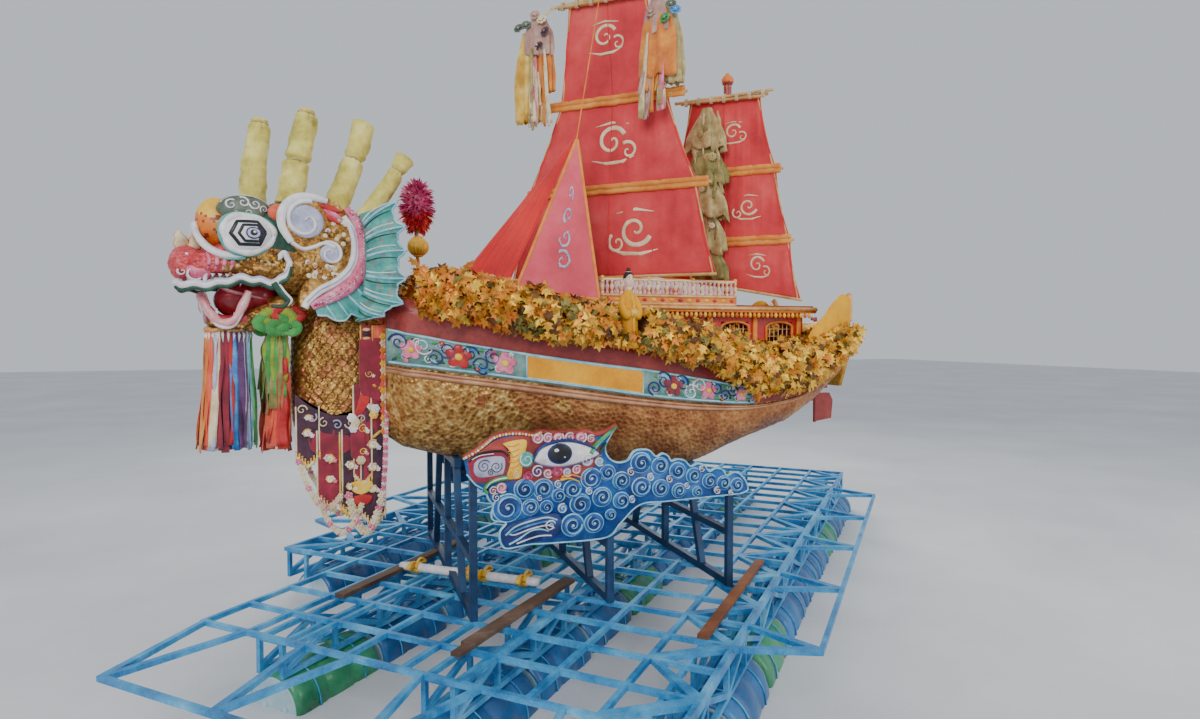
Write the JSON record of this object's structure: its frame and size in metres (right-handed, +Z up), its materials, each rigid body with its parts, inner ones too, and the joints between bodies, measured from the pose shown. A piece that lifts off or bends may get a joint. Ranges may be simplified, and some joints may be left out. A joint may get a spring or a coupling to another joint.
{
  "type": "chinese junk",
  "caption": "Festival junk with a dragon figurehead, battened sails and a low deckhouse, carried by a steel cradle on a raft of tube trusses and drums.",
  "frame": {"origin": "under the middle of the raft's box, at the bottom of its drums", "axes": "+X towards the stern, +Y to starboard, +Z up; the raft lies across the boat at 45 degrees, so its corners point along X and Y"},
  "size_m": [9.8164, 10.4864, 7.3024],
  "materials": {
    "raft": "blue paint",
    "drum": "blue plastic drum",
    "cradle": "dark blue paint",
    "board": "painted plywood",
    "scales": "gold foil over laminate",
    "deck": "stained planks",
    "band": "painted boards",
    "rail": "pale gold trim",
    "foliage": "gilded cloth leaves",
    "cloth": "festival cloth and ribbons",
    "robe": "yellow silk robe",
    "head": "painted carving",
    "eye": "glossy eyes",
    "bag": "tied cloth bags",
    "house": "red paint",
    "sail": "red sailcloth",
    "spar": "bamboo and rope",
    "mast": "red paint"
  },
  "bodies": {
    "junk": {"raft_truss_1": "raft", "raft_truss_2": "raft", "raft_truss_3": "raft", "raft_truss_4": "raft", "deck_grid": "raft", "float_row_1": "drum", "float_row_2": "drum", "float_row_3": "drum", "float_row_4": "drum", "cradle_fore": "cradle", "cradle_mid": "cradle", "cradle_aft": "cradle", "wave_board_port": "board", "wave_board_starboard": "board", "hull_shell": "scales", "dragon_neck": "scales", "main_deck": "deck", "painted_band_port": "band", "painted_band_starboard": "band", "rub_rail_port": "rail", "rub_rail_starboard": "rail", "house_roof": "rail", "roof_rail": "rail", "garland_port": "foliage", "garland_starboard": "foliage", "stern_board": "foliage", "guardian": "robe", "apron_port": "cloth", "apron_starboard": "cloth", "throat_sash": "cloth", "banner": "cloth", "jib_cloth": "cloth", "beard": "cloth", "bow_pompom": "cloth", "dragon_head": "head", "lower_jaw": "head", "tongue": "head", "cheek_scroll_port": "head", "cheek_scroll_starboard": "head", "ear_frill_port": "head", "ear_frill_starboard": "head", "eye_port": "eye", "eye_starboard": "eye", "horn_1": "bag", "horn_2": "bag", "horn_3": "bag", "horn_4": "bag", "house_walls": "house", "fore_stay": "spar", "main_mast": "mast", "mizzen_mast": "mast", "stern_post": "mast"},
    "main_rig": {"main_sail": "sail", "main_spars": "spar", "bundle_fore": "cloth", "bundle_aft": "cloth"},
    "mizzen_rig": {"mizzen_sail": "sail", "mizzen_spars": "spar", "mizzen_bundle": "foliage"},
    "rudder": {"rudder_blade": "mast"}
  },
  "joints": [
    {"name": "main_sail_swing", "type": "hinge", "parent": "junk", "child": "main_rig", "pos_m": [-0.5578, -1.4319, 4], "axis": [0, 0, 1], "range_deg": [-44, 20]},
    {"name": "mizzen_sail_swing", "type": "hinge", "parent": "junk", "child": "mizzen_rig", "pos_m": [0.8722, -1.4319, 4], "axis": [0, 0, 1], "range_deg": [-44, 20]},
    {"name": "rudder_turn", "type": "hinge", "parent": "junk", "child": "rudder", "pos_m": [2.1022, -1.4319, 2.5], "axis": [0, 0, 1], "range_deg": [-32, 32]}
  ]
}
